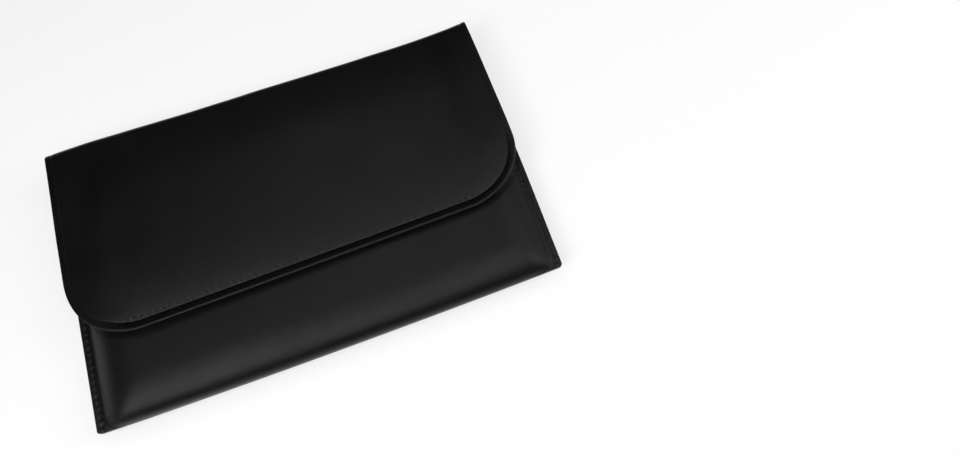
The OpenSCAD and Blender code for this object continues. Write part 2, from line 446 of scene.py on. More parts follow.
def seamPucker(tree, place):
    outward = mathNode(tree, "ABSOLUTE", place["X"])
    line = pouch["halfWidth"] - pouch["stitchInset"]
    return puckers(tree, outward, place["Y"], line, leatherLook["puckerReach"], leatherLook["puckerKept"])


def hemPucker(tree, place):
    # Along the foot of the padding, above the skewed lower hem
    tilt = mathNode(tree, "MULTIPLY", place["X"], -flap["skew"] / flapHigh[0])
    height = mathNode(tree, "ADD", place["Y"], tilt)
    line = flap["low"] + flap["wallFrom"] + flap["wallWidth"]
    return puckers(tree, height, place["X"], line, leatherLook["hemReach"], 0)


def buildLeather(name, look, pucker, depth):
    material, tree, shader = newMaterial(name)
    coords = addNode(tree, "ShaderNodeTexCoord").outputs["Object"]
    grain = tree.nodes.new("ShaderNodeGroup")
    grain.node_tree = grainGroup
    setInputs(tree, grain, {
        "Vector": coords,
        "Grain Size": look["grainSize"],
        "Grain Depth": look["grainDepth"],
        "Unevenness": look["unevenness"],
    })
    patches = grain.outputs["Patches"]
    place = addNode(tree, "ShaderNodeSeparateXYZ", {0: coords}).outputs
    under = bumpNode(tree, pucker(tree, place), 1.0, depth)
    setInputs(tree, shader, {
        "Base Color": colourRamp(tree, patches, [(noiseLow, look["dark"]), (noiseHigh, look["light"])]),
        "Roughness": rangeNode(tree, patches, look["roughHigh"], look["roughLow"], noiseLow, noiseHigh),
        "Normal": bumpNode(tree, grain.outputs["Height"], look["bump"], look["bumpDistance"], under),
        "Specular IOR Level": look["specular"],
    })
    showSurface(tree, shader)
    return material


liningLook = {
    "colour": (0.022, 0.022, 0.024),
    "between": 0.6,  # brightness of the painted shade in the gaps between the threads
    "threadSize": 0.35,
    "bump": 0.4,
    "bumpDistance": 0.08,
    "roughness": 0.8,
    "sheen": 0.25,
}


def buildFabric(name, look):
    material, tree, shader = newMaterial(name)
    weave = tree.nodes.new("ShaderNodeGroup")
    weave.node_tree = weaveGroup
    coords = addNode(tree, "ShaderNodeTexCoord").outputs["Object"]
    setInputs(tree, weave, {"Vector": coords, "Thread Size": look["threadSize"]})
    height = weave.outputs["Height"]
    # painted shade: the colour darkens where the weave lies low, in the gaps between the threads, and is
    # lightest on the threads' tops
    dark = tuple(look["between"] * c for c in look["colour"])
    shade = rangeNode(tree, height, 0, 1, -1, 1)
    setInputs(tree, shader, {
        "Base Color": colourRamp(tree, shade, [(0.1, dark), (0.9, look["colour"])]),
        "Normal": bumpNode(tree, height, look["bump"], look["bumpDistance"]),
        "Roughness": look["roughness"],
        "Sheen Weight": look["sheen"],
    })
    showSurface(tree, shader)
    return material


plainBase = {
    "speckle": 0.2, "scale": 900, "roughness": 0.9, "roughSpread": 0.08, "specular": 0.5,
    "metallic": 0.0, "bump": 0.2, "bumpDistance": 0.05,
}
plainLooks = {
    "blackThread": {
        "colour": (0.003, 0.003, 0.0033), "speckle": 0.5, "scale": 2500, "roughness": 0.8, "specular": 0.2,
    },
    "greyBoard": {"colour": (0.36, 0.31, 0.24)},
    "whiteFoam": {"colour": (0.62, 0.62, 0.6), "roughness": 0.92},
    "nickelPlate": {"colour": (0.6, 0.6, 0.6), "speckle": 0.1, "roughness": 0.25, "metallic": 1.0},
    "steelPlate": {"colour": (0.5, 0.5, 0.51), "speckle": 0.15, "roughness": 0.4, "metallic": 1.0},
}


def buildPlain(name, look):
    material, tree, shader = newMaterial(name)
    coords = addNode(tree, "ShaderNodeTexCoord").outputs["Object"]
    noise = noiseNode(tree, coords, look["scale"], 3)["Fac"]
    dark = tuple((1 - look["speckle"]) * c for c in look["colour"])
    low, high = look["roughness"] - look["roughSpread"], look["roughness"] + look["roughSpread"]
    setInputs(tree, shader, {
        "Base Color": colourRamp(tree, noise, [(noiseLow, dark), (noiseHigh, look["colour"])]),
        "Roughness": rangeNode(tree, noise, low, high),
        "Normal": bumpNode(tree, noise, look["bump"], look["bumpDistance"]),
        "Metallic": look["metallic"],
        "Specular IOR Level": look["specular"],
    })
    showSurface(tree, shader)
    return material


grainGroup = buildGrainGroup(grainPattern)
weaveGroup = buildWeaveGroup()
seamLeather = buildLeather("pouchLeather", leatherLook, seamPucker, leatherLook["pucker"])
plainLeather = buildLeather("flapLeather", leatherLook, hemPucker, leatherLook["hemPucker"])
liningCloth = buildFabric("liningCloth", liningLook)
finishes = {name: buildPlain(name, {**plainBase, **look}) for name, look in plainLooks.items()}
print("materials done")


# The flap, drawn flat: x across, s upwards as y is and on over the crease, h the height
# over its base. placeFlap curls the sides and bends the crease.
def flapInset(x, s):
    # Distance inside the outline: straight sides, round lower corners, lower edge
    r = flap["cornerRadius"]
    dx = np.abs(x) - (flatHalf - r)
    dy = flap["low"] + r - s
    corner = r - np.hypot(np.maximum(dx, 0), np.maximum(dy, 0))
    return np.where((dx > 0) & (dy > 0), corner, np.minimum(r - dx, r - dy))


def creaseHeight(inset):
    rise = flap["creaseThickness"] - flap["creaseRim"]
    return flap["creaseRim"] + rise * smooth(inset / flap["rimWidth"])


def thinned(s):
    # How far the flap sinks on its way up to the crease, less its slow rise from below
    up = np.clip((s - flap["thinFrom"]) / (creaseY - flap["thinFrom"]), 0, 1)
    rise = flap["ridge"] * ramp(s, flap["low"], flap["ridgeTop"] - flap["low"])
    return (flap["thickness"] + flap["crown"] + flap["ridge"] - flap["creaseThickness"]) * up ** 2 - rise


def flapTop(inset, x, s):
    low, full = flap["grooveHeight"], flap["thickness"] + flap["crown"]
    outside = np.clip(1 - inset / flap["beadCrest"], 0, 1)
    inside = np.clip((inset - flap["beadCrest"]) / (flap["wallFrom"] - flap["beadCrest"]), 0, 1)
    bead = flap["beadHeight"] - flap["beadDrop"] * outside ** 2
    bead = bead - (flap["beadHeight"] - low) * inside ** flap["groovePower"]
    wall = bulge((inset - flap["wallFrom"]) / flap["wallWidth"], flap["wallPower"])
    beyond = np.maximum(inset - flap["wallFrom"] - flap["wallWidth"], 0)
    field = low + (flap["wallHeight"] - low) * wall
    field = field + (full - flap["wallHeight"]) * (1 - np.exp(-beyond / flap["crownWidth"]))
    rim = smooth(inset / flap["rimWidth"])
    field = np.maximum(field - thinned(s) * rim, np.minimum(field, creaseHeight(inset)))
    uneven = flap["waviness"] * waves(x, s, flap["seed"]) * ramp(inset, *flap["calmEdge"])
    shape = np.maximum(bead, field) + uneven
    plain = flap["plainRim"] + (full - thinned(s) - flap["plainRim"]) * smooth(inset / flap["plainWidth"])
    plain = plain - flap["stitchDent"] * dent(inset - flap["stitchInset"], flap["dentWidth"]) + uneven
    return shape + (plain - shape) * grooveFade(x, s) - edgeRound(inset, flap["edgeRound"])


def grooveFade(x, s):
    # The groove runs out up both sides, sooner on the left
    left = ramp(s, *flap["leftFade"]) * ramp(-x, flatHalf - flap["fadeFrom"], flap["fadeWidth"])
    return np.maximum(left, ramp(s, *flap["rightFade"]))


def settled(x, y, z):
    # The hand-made shape: the fold bows out, the crease bows in, and the right side leans
    u = np.clip(x / pouch["halfWidth"], -1, 1)
    low = ramp(y, *pouch["foldReach"]) * (1 - u ** 2) * pouch["foldSag"]
    leftPower, rightPower = pouch["flarePower"]
    leftEnd, rightEnd = np.maximum(-u, 0) ** leftPower, np.maximum(u, 0) ** rightPower
    bow = pouch["leftFlare"] * leftEnd + pouch["rightFlare"] * rightEnd - pouch["creaseSag"] * (1 - u ** 2)
    start, length = pouch["leanReach"]
    lean = pouch["lean"] * np.maximum(u, 0) ** 2 * np.sin(math.pi * (y - start) / length)
    shift = pouch["creaseShift"] * ramp(y, *pouch["shiftReach"])
    return np.stack([x + lean + shift, y - low + ramp(y, *pouch["creaseReach"]) * bow, z], -1)


def skewAt(x, s):
    return flap["skew"] * x / flatHalf * ramp(s, *flap["skewReach"])


def placeFlap(x, s, h):
    up = ramp(s, *flap["rollReach"])
    angle = math.radians(flap["rollAngle"]) * (1 - (1 - flap["rollKept"]) * up)
    out = np.abs(x)
    start = flatHalf - flap["rollWidth"]
    radius = flap["rollWidth"] / angle
    theta = np.clip(out - start, 0, None) / radius
    turn = np.clip((s - creaseY) / creaseTurn, 0, 1) * math.pi / 2
    side = np.where(theta > 0, start + radius * np.sin(theta), out)
    side = side + h * np.sin(theta) * np.cos(turn)
    drop = radius * (1 - np.cos(theta))
    y = np.minimum(s, creaseY) + (creaseInner + h) * np.sin(turn)
    z = creaseZ + (creaseInner + h * np.cos(theta)) * np.cos(turn) - drop
    past = np.clip((s - creaseY - creaseTurn) / (spineEnd - creaseY - creaseTurn), 0, 1)
    z = z + (spineMid - (creaseZ - drop)) * past
    return settled(np.sign(x) * side, y + skewAt(x, s), z)


def flapLayout(rings, step, endRows):
    # Flat points x, s: rows and columns inside, rings along the sides and the lower edge.
    # rings are distances inside the outline, the first is the border of the piece.
    core = rings[-1]
    r = flap["cornerRadius"] - core
    half, low = flatHalf - core, flap["low"] + core
    arc = np.linspace(0, math.pi / 2, max(4, int(r * math.pi / 2 / step)))
    rows = [(low + r - r * math.cos(a), half - r + r * math.sin(a), a) for a in arc]
    upper = joined(spaced(low + r, creaseY, step), endRows)
    rows += [(s, half, math.pi / 2) for s in upper[1:]]
    columns = np.linspace(-1, 1, int(2 * (half - r) / step) + 1)
    points = [(c * reach, s) for s, reach, a in rows for c in columns]
    index = np.arange(len(points)).reshape(len(rows), len(columns))
    faces = gridFaces(index)
    known = {}

    def band(edge, normals):
        table = [list(edge)]
        for ring in rings[-2::-1]:
            line = []
            for v, (nx, ns) in zip(edge, normals):
                x, s = points[v]
                place = (x + nx * (core - ring), s + ns * (core - ring))
                key = (round(place[0], 3), round(place[1], 3))
                if key not in known:
                    known[key] = len(points)
                    points.append(place)
                line.append(known[key])
            table.append(line)
        return gridFaces(np.array(table))

    rightNormals = [(math.sin(a), -math.cos(a)) for s, reach, a in rows]
    leftNormals = [(-math.sin(a), -math.cos(a)) for s, reach, a in rows]
    faces += [tuple(reversed(f)) for f in band(index[:, -1], rightNormals)]
    faces += band(index[:, 0], leftNormals)
    faces += [tuple(reversed(f)) for f in band(index[0, :], [(0, -1)] * len(columns))]
    return np.array(points), faces


def flapLayer(name, rings, step, endRows, topOf, lowOf, material, holes=()):
    flat, faces = flapLayout(rings, step, endRows)
    x, s = flat[:, 0], flat[:, 1]
    inset = flapInset(x, s)
    for hx, hy, radius in holes:
        faces = [f for f in faces if math.dist(flat[list(f)].mean(0), (hx, hy)) > radius]
    outer = placeFlap(x, s, topOf(inset, x, s))
    inner = placeFlap(x, s, lowOf(inset, x, s))
    return closedSheet(name, outer, inner, faces, material)


# Distances inside the outline at which the meshes have points
hemRings = [0, 0.06, 0.15, 0.3, 0.5, 0.8, 1.0, 1.25, 1.55, 1.9, 2.3, 2.75, 3.2, 3.55, 3.7, 3.74, 3.84,
            4.0, 4.2, 4.45, 4.75, 5.1, 5.6, 6.3, 7.3, 8.8, 11.0]
innerRings = [4.5, 5.3, 6.5, 8.5, 11.0]
liningRings = [1.8, 2.6, 3.6, 5.0, 7.0]
overCrease = joined(np.linspace(creaseY, creaseY + creaseTurn, flap["creaseRows"]),
                    spaced(creaseY + creaseTurn, spineEnd, flap["step"]))


def leatherLow(inset, x, s):
    lip = 1 - ramp(inset, *flap["lipWidth"])
    rest = np.maximum(flapTop(inset, x, s) - flap["leather"], flap["lining"] + flap["liningGap"])
    return rest + (flap["lipHeight"] - rest) * lip


def paddingTop(inset, x, s):
    return flapTop(inset, x, s) - flap["leather"] - flap["layerGap"]


def boardTop(inset, x, s):
    return np.minimum(flap["lining"] + flap["board"], paddingTop(inset, x, s) - flap["leastFoam"])


def foamLow(inset, x, s):
    return boardTop(inset, x, s) + flap["layerGap"]


def level(height):
    # A face at one height over the base
    return lambda inset, x, s: height + 0 * x


magnetMiddle = (magnetLow + magnetHigh) / 2
magnetRadius = (magnetHigh[1] - magnetLow[1]) / 2 + flap["magnetGap"]
magnetHoles = [(sign * magnetMiddle[0], magnetMiddle[1], magnetRadius) for sign in (-1, 1)]
flapLeather = flapLayer("flapLeather", hemRings, flap["step"], overCrease, flapTop, leatherLow,
                        plainLeather)
flapFoam = flapLayer("flapFoam", innerRings, flap["innerStep"], [creaseY], paddingTop, foamLow,
                     finishes["whiteFoam"], magnetHoles)
flapBoard = flapLayer("flapBoard", innerRings, flap["innerStep"], [creaseY], boardTop,
                      level(flap["lining"] + flap["layerGap"]), finishes["greyBoard"], magnetHoles)
flapLining = flapLayer("flapLining", liningRings, flap["innerStep"], overCrease,
                       level(flap["lining"]), level(0), liningCloth)
print("flap done")


# The pouch. A row is a place on the way down the front, round the fold, up the back and
# up the spine; a column is a place across.
def sideHalf(x):
    edge = pouch["seamThickness"] / 2
    t = np.clip((pouch["halfWidth"] - pouch["seamWidth"] - np.abs(x)) / pouch["sideTaper"], 0, 1)
    return edge + (midZ - edge) * (1 - (1 - t) ** pouch["sidePower"])


def halfThickness(x, y):
    # Distance of the outer face from the seam level
    side, edge = sideHalf(x), pouch["seamThickness"] / 2
    across = np.clip(0.5 + 0.5 * x / pouch["halfWidth"], 0, 1)
    power = pouch["foldPower"][0] + (pouch["foldPower"][1] - pouch["foldPower"][0]) * across
    low = midZ * bulge((y - pouch["bottom"]) / pouch["foldTaper"], power)
    lack = (1 - side / midZ) ** pouch["cornerBlend"] + (1 - low / midZ) ** pouch["cornerBlend"]
    full = midZ * (1 - np.minimum(lack, 1) ** (1 / pouch["cornerBlend"]))
    return np.maximum(full, np.minimum(low, edge))


def pressed(x, y):
    # 1 at the edge of the closed flap, fading to 0 on both sides of it
    inset = flapInset(x * flatHalf / flap["halfWidth"], y - skewAt(x, y))
    width = np.where(inset < 0, pouch["furrowWidth"], pouch["furrowRun"])
    return 1 - smooth(np.abs(inset) / width)


def seamDetail(x):
    # The rim of the seam is rounded and the stitches pull it in
    inset = pouch["halfWidth"] - np.abs(x)
    pull = pouch["stitchDent"] * dent(inset - pouch["stitchInset"], pouch["dentWidth"])
    return edgeRound(inset, pouch["rimRound"]) + pull


def pouchPoint(x, kind, value):
    inset = pouch["halfWidth"] - np.abs(x)
    detail = seamDetail(x)
    if kind in ("front", "fold"):
        y = value + 0 * x if kind == "front" else foldY(value) + 0 * x
        sign = 1 if kind == "front" else math.copysign(1, value)
        fullness = smooth(inset / pouch["calmWidth"]) * ramp(y, pouch["bottom"], pouch["calmWidth"])
        uneven = pouch["waviness"] * fullness * waves(x, y, pouch["seed"]) * (sign > 0)
        rise = halfThickness(x, y)
        detail = detail * min(1, rise.max())  # none is left at the very end of the fold
        z = midZ + sign * (np.maximum(rise - detail, 0) + uneven)
        if sign > 0:
            z = z - pouch["furrow"] * pressed(x, y) * ramp(rise, *pouch["furrowFrom"])
        low = ramp(y, pouch["bottom"] + pouch["cornerReach"], -pouch["cornerReach"])
        return settled(x, y + edgeRound(inset, pouch["cornerRadius"]) * low, z)
    if kind == "back":
        y = value + 0 * x
        return settled(x, y, midZ - halfThickness(x, y) + detail)
    backZ = midZ - halfThickness(x, creaseY + 0 * x) + detail
    radius = creaseInner + creaseHeight(inset) - edgeRound(inset, pouch["creaseEdgeRound"])
    lift = np.minimum(radius, spineMid - backZ - pouch["leastSpine"])
    if kind == "turn":
        y = creaseY + radius * math.sin(value)
        z = backZ + lift * (1 - math.cos(value))
    else:
        y = creaseY + radius
        z = backZ + lift + (spineMid - backZ - lift) * value
    return settled(x, y, z)


def foldY(angle):
    return pouch["bottom"] + pouch["foldTaper"] * (1 - math.cos(angle))


meshSteps = {
    "front": 1.6,
    "back": 2.2,
    "across": 2.3,
    "side": 1.3,
    "lipRows": 8,
    "foldRows": 57,
    "creaseRows": 10,
    "spineRows": 6,
}
seamRings = [4.5, 4.0, 3.6, 3.3, 3.0, 2.7, 2.4, 2.0, 1.4, 0.9, 0.6, 0.35, 0.15, 0.04, 0]


def pouchColumns(reach, step=1.0):
    seam = pouch["halfWidth"] - pouch["seamWidth"]
    flat = seam - pouch["sideTaper"]
    edge = [pouch["halfWidth"] - d for d in seamRings]
    right = joined(spaced(flat, seam, meshSteps["side"] * step), edge)
    right = right[right <= reach + 1e-6]
    return joined(-right[::-1], spaced(-flat, flat, meshSteps["across"] * step), right)


def pouchRows(step=1.0):
    lowEnd = pouch["bottom"] + pouch["foldTaper"]
    highEnd = pouch["mouth"] - pouch["lipRadius"]
    foldRows = int(meshSteps["foldRows"] / step)
    rows = [("front", y) for y in spaced(highEnd, lowEnd, meshSteps["front"] * step)]
    rows += [("fold", a) for a in np.linspace(math.pi / 2, -math.pi / 2, foldRows)[1:-1]]
    rows += [("back", y) for y in spaced(lowEnd, creaseY, meshSteps["back"] * step)]
    rows += [("turn", a) for a in np.linspace(0, math.pi / 2, meshSteps["creaseRows"])[1:]]
    rows += [("spine", t) for t in np.linspace(0, 1, meshSteps["spineRows"])[1:]]
    return rows


def surfaceNormals(grid):
    along, across = np.gradient(grid, axis=0), np.gradient(grid, axis=1)
    normal = np.cross(across, along)
    normal /= np.linalg.norm(normal, axis=2)[..., None]
    frontRow = len(grid) // 6
    return normal if normal[frontRow, grid.shape[1] // 2, 2] > 0 else -normal


def pouchGrid(reach, step=1.0):
    x = pouchColumns(reach, step)
    rows = pouchRows(step)
    grid = np.array([pouchPoint(x, kind, value) for kind, value in rows])
    return x, rows, grid, surfaceNormals(grid)


def buildPouchLeather():
    x, rows, grid, normal = pouchGrid(pouch["halfWidth"])
    inset = pouch["halfWidth"] - np.abs(x)
    turned = 1 - ramp(inset, *pouch["turnedFade"])
    seamLayer = pouch["seamThickness"] / 2 - pouch["seamGap"]
    thick = pouch["leather"] + (seamLayer - pouch["leather"]) * turned
    thick = np.minimum(thick, pouch["rimThickness"] + inset)
    depth = np.repeat(thick[None, :], len(rows), 0)
    # the front edge turns in to a facing
    edge, up = grid[0], np.array([0, 1, 0])
    room = np.maximum(grid[0][:, 2] - midZ, pouch["lipRoom"])
    half = np.minimum(pouch["lipRadius"], room / 2 - pouch["lipGap"])[:, None]
    lip = [edge - normal[0] * half * (1 - math.cos(a)) + up * half * math.sin(a)
           for a in np.linspace(math.pi, 0, meshSteps["lipRows"])[:-1]]
    lowered = spaced(facingLow[1], pouch["mouth"] - pouch["lipRadius"], meshSteps["front"])[:-1]
    facing = [pouchPoint(x, "front", y) - normal[0] * half * 2 for y in lowered]
    full = np.concatenate([np.array(facing), np.array(lip), grid])
    fullNormal = surfaceNormals(full)
    fullNormal[:len(facing)] = -normal[0]
    extra = np.repeat(half[None, :, 0] * pouch["lipFilled"], len(facing) + len(lip), 0)
    depth = np.concatenate([extra, depth])
    inner = full - fullNormal * depth[..., None]
    index = np.arange(full.shape[0] * full.shape[1]).reshape(full.shape[:2])
    return closedSheet("pouchLeather", full.reshape(-1, 3), inner.reshape(-1, 3), gridFaces(index),
                       seamLeather)


liningCut = {
    "front": 1.8,  # depth of the lining under the outer face
    "back": 1.6,
    "spine": 2.6,
    "sinkFrom": 60.0,  # height at which the back's lining starts to sink towards the spine's
    "endInset": 3.6,
    "leastDepth": 0.3,
    "middleGap": 0.5,
    "overlap": 4.0,  # behind the facing
    "creaseGap": 1.3,
    "coarser": 1.5,
}


def liningDepth(kind, value):
    front, back, spine = (liningCut[place] for place in ("front", "back", "spine"))
    if kind == "front":
        return front
    if kind == "fold":
        return back + (front - back) * (0.5 + value / math.pi)
    if kind == "back":
        return back + (spine - back) * ramp(value, liningCut["sinkFrom"], creaseY - liningCut["sinkFrom"])
    return spine


def buildPouchLining():
    # A bag of cloth inside the leather, open at the mouth, and on up the spine
    x, rows, grid, normal = pouchGrid(pouch["halfWidth"] - liningCut["endInset"], liningCut["coarser"])
    top = facingLow[1] + liningCut["overlap"]
    keep = [i for i, (kind, value) in enumerate(rows) if kind != "front" or value < top]
    grid, normal = grid[keep], normal[keep]
    rows = [rows[i] for i in keep]
    depth = np.array([liningDepth(kind, value) for kind, value in rows])[:, None]
    # it stays on its side of the middle and inside the crease
    atSpine = np.array([kind in ("turn", "spine") for kind, value in rows])[:, None]
    room = np.where(atSpine, depth, np.abs(grid[..., 2] - midZ) - liningCut["middleGap"])
    radius = creaseInner + creaseHeight(pouch["halfWidth"] - np.abs(x)) - liningCut["creaseGap"]
    room = np.maximum(np.minimum(room, radius[None, :]), liningCut["leastDepth"])
    outerDepth = np.minimum(depth, room)
    innerDepth = outerDepth + flap["lining"]
    outer = grid - normal * outerDepth[..., None]
    inner = grid - normal * innerDepth[..., None]
    index = np.arange(grid.shape[0] * grid.shape[1]).reshape(grid.shape[:2])
    return closedSheet("pouchLining", outer.reshape(-1, 3), inner.reshape(-1, 3), gridFaces(index),
                       liningCloth)


spinePadding = {
    "endInset": 4.0, "outerGap": 0.85, "innerGap": 0.45, "leastThickness": 0.1, "columns": 90, "rows": 9,
}


def buildSpineFoam(cut):
    reach = flap["halfWidth"] - cut["endInset"]
    x = np.linspace(-reach, reach, cut["columns"])
    inset = pouch["halfWidth"] - np.abs(x)
    outerRows, innerRows = [], []
    low = pouchPoint(x, "turn", math.pi / 2)[:, 2]
    high = placeFlap(x, creaseY + creaseTurn + 0 * x, 0 * x)[:, 2]
    for share in np.linspace(0, 1, cut["rows"]):
        z = low + (high - low) * share
        outerRows.append(settled(x, creaseY + creaseInner + creaseHeight(inset) - cut["outerGap"], z))
        innerRows.append(settled(x, creaseY + creaseInner + cut["innerGap"] + 0 * x, z))
    outer, inner = np.array(outerRows), np.array(innerRows)
    outer[..., 1] = np.maximum(outer[..., 1], inner[..., 1] + cut["leastThickness"])
    index = np.arange(outer.shape[0] * outer.shape[1]).reshape(outer.shape[:2])
    return closedSheet("spineFoam", outer.reshape(-1, 3), inner.reshape(-1, 3), gridFaces(index),
                       finishes["whiteFoam"])


frontPadding = {"thickness": 0.8, "leatherGap": 0.08, "plateGap": 1.4, "step": 2.0}


def buildFrontFoam(cut):
    # Padding behind the front leather, with holes for the two plates
    low, high = nodeBox("front_foam")
    plateLow, plateHigh = nodeBox("front_plate_right")
    middle, radius = (plateLow + plateHigh) / 2, (plateHigh[0] - plateLow[0]) / 2 + cut["plateGap"]
    x, ys = spaced(low[0], high[0], cut["step"]), spaced(high[1], low[1], cut["step"])
    top = np.array([pouchPoint(x, "front", y) for y in ys])
    top[..., 2] -= pouch["leather"] + cut["leatherGap"]
    index = np.arange(top.shape[0] * top.shape[1]).reshape(top.shape[:2])
    top = top.reshape(-1, 3)
    faces = []
    for face in gridFaces(index):
        centre = top[list(face)].mean(0)
        if math.dist((abs(centre[0]), centre[1]), middle[:2]) > radius:
            faces.append(face)
    return closedSheet("frontFoam", top, top - (0, 0, cut["thickness"]), faces, finishes["whiteFoam"])


pouchLeather = buildPouchLeather()
frontFoam = buildFrontFoam(frontPadding)
pouchLining = buildPouchLining()
spineFoam = buildSpineFoam(spinePadding)
print("pouch done")


# Stitches
stitchLook = {
    "length": 2.5,
    "width": 0.5,
    "pitch": 3.5,
    "lift": 0.02,  # height of the thread's middle over the leather
    "hemLift": 0.04,
    "hemOver": 4.5,  # the hem's stitches run up past the top of the side seams by this
    "step": 1.0,  # distance of the points that the stitches follow
    "cornerPoints": 40,
}


def buildStitchTree():
    inputs = [("Geometry", "NodeSocketGeometry", None)]
    inputs += [(label, "NodeSocketFloat", None) for label in ("Stitch Length", "Thread Width", "Pitch")]
    outputs = [("Geometry", "NodeSocketGeometry")]
    tree, start = newGroup("threadStitches", inputs, outputs, "GeometryNodeTree")
    curve = addNode(tree, "GeometryNodeMeshToCurve", {"Mesh": start["Geometry"]}).outputs["Curve"]
    points = tree.nodes.new("GeometryNodeResampleCurve")
    points.mode = "LENGTH"
    setInputs(tree, points, {"Curve": curve, "Length": start["Pitch"]})
    ball = addNode(tree, "GeometryNodeMeshUVSphere", {"Segments": 8, "Rings": 6, "Radius": 0.5})
    lying = {"Geometry": ball.outputs["Mesh"], "Rotation": (0, math.pi / 2, 0)}
    stitch = addNode(tree, "GeometryNodeTransform", lying).outputs["Geometry"]
    up = tree.nodes.new("GeometryNodeInputNamedAttribute")
    up.data_type = "FLOAT_VECTOR"
    up.inputs["Name"].default_value = "up"
    axes = tree.nodes.new("FunctionNodeAxesToRotation")
    axes.primary_axis = "Z"
    axes.secondary_axis = "X"
    along = addNode(tree, "GeometryNodeInputTangent").outputs["Tangent"]
    setInputs(tree, axes, {"Primary Axis": up.outputs["Attribute"], "Secondary Axis": along})
    length, width = start["Stitch Length"], start["Thread Width"]
    size = addNode(tree, "ShaderNodeCombineXYZ", {"X": length, "Y": width, "Z": width}).outputs["Vector"]
    placed = addNode(tree, "GeometryNodeInstanceOnPoints", {
        "Points": points.outputs["Curve"],
        "Instance": stitch,
        "Rotation": axes.outputs["Rotation"],
        "Scale": size,
    }).outputs["Instances"]
    real = addNode(tree, "GeometryNodeRealizeInstances", {"Geometry": placed}).outputs["Geometry"]
    painted = {"Geometry": real, "Material": finishes["blackThread"]}
    thread = addNode(tree, "GeometryNodeSetMaterial", painted).outputs["Geometry"]
    addNode(tree, "NodeGroupOutput", {"Geometry": thread})
    return tree


stitchTree = buildStitchTree()


def sewn(name, lines):
    # lines are runs of points with the direction that their surface faces
    points, ups, edges = [], [], []
    for line, up in lines:
        first = len(points)
        points.extend(line)
        ups.extend(up)
        edges.extend((first + i, first + i + 1) for i in range(len(line) - 1))
    mesh = bpy.data.meshes.new(name + "Path")
    mesh.from_pydata([tuple(p) for p in np.array(points) * mm], edges, [])
    upward = mesh.attributes.new("up", "FLOAT_VECTOR", "POINT")
    upward.data.foreach_set("vector", np.array(ups, dtype=np.float32).ravel())
    path = bpy.data.objects.new(name + "Path", mesh)
    bpy.context.scene.collection.objects.link(path)
    modifier = path.modifiers.new("stitches", "NODES")
    modifier.node_group = stitchTree
    values = {"Stitch Length": "length", "Thread Width": "width", "Pitch": "pitch"}
    for item in stitchTree.interface.items_tree:
        if item.in_out == "INPUT" and item.name in values:
            modifier[item.identifier] = stitchLook[values[item.name]] * mm
    evaluated = path.evaluated_get(bpy.context.evaluated_depsgraph_get())
    result = bpy.data.meshes.new_from_object(evaluated)
    result.name = name
    path.modifiers.remove(modifier)
    bpy.data.objects.remove(path)
    result.polygons.foreach_set("use_smooth", [True] * len(result.polygons))
    piece = bpy.data.objects.new(name, result)
    bpy.context.scene.collection.objects.link(piece)
    return piece


def flapOutline(inset, top):
    # The way round the flap at a distance inside its edge, up to the crease
    r = flap["cornerRadius"] - inset
    half, low = flatHalf - inset, flap["low"] + inset
    side = [(half, s) for s in spaced(top, low + r, stitchLook["step"])[:-1]]
    corner = [(half - r + r * math.cos(a), low + r - r * math.sin(a))
              for a in np.linspace(0, math.pi / 2, stitchLook["cornerPoints"])]
    right = side + corner
    return np.array(right + [(-x, s) for x, s in right[::-1]])


def flapStitchLines():
    path = flapOutline(flap["stitchInset"], seamHigh[1] + stitchLook["hemOver"])
    x, s = path[:, 0], path[:, 1]
    inset = flapInset(x, s)
    height = flapTop(inset, x, s)
    centre = placeFlap(x, s, height + stitchLook["hemLift"])
    up = placeFlap(x, s, height + 1) - placeFlap(x, s, height)
    under = placeFlap(x, s, 0 * x - stitchLook["hemLift"])
    return [(centre, up), (under, -up)]


def seamStitchLines(sign):
    ys = spaced(seamHigh[1], seamLow[1], stitchLook["step"])
    x = np.array([sign * (pouch["halfWidth"] - pouch["stitchInset"])])
    front = [pouchPoint(x, "front", y)[0] + (0, 0, stitchLook["lift"]) for y in ys]
    back = [(place[0], place[1], 2 * midZ - place[2]) for place in front]
    return [(front, [(0, 0, 1)] * len(ys)), (back, [(0, 0, -1)] * len(ys))]


def mouthStitchLines():
    low, high = nodeBox("mouth_stitches")
    end = stitchLook["length"] / 2
    x = spaced(low[0] + end, high[0] - end, stitchLook["step"])
    line = pouchPoint(x, "front", (low[1] + high[1]) / 2) + (0, 0, stitchLook["lift"])
    return [(line, [(0, 0, 1)] * len(x))]


flapStitches = sewn("flapStitches", flapStitchLines())
leftStitches = sewn("leftSeamStitches", seamStitchLines(-1))
rightStitches = sewn("rightSeamStitches", seamStitchLines(1))
mouthStitches = sewn("mouthStitches", mouthStitchLines())
print("stitches done")


# What moves with what
def assemble():
    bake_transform(pouchLeather)
    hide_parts("pocket_shell", "mouth_facing")
    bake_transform(flapLeather)
    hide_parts("flap_shell", "spine_shell")
    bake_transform(pouchLining)
    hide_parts("pocket_lining", "spine_lining")
    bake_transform(flapLining)
    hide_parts("flap_lining")
    riders = [
        (flapFoam, "flap", "flap_foam", "foam"),
        (flapBoard, "flap", "flap_board", "board"),
        (frontFoam, "pocket", "front_foam", "foam"),
        (spineFoam, "spine", "spine_foam", "foam"),
        (flapStitches, "flap", "flap_stitches", "thread"),
        (leftStitches, "pocket", "left_seam_stitches", "thread"),
        (rightStitches, "pocket", "right_seam_stitches", "thread"),
        (mouthStitches, "pocket", "mouth_stitches", "thread"),
    ]
    for piece, body, node, finish in riders:
        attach(piece, body)
        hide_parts(node)


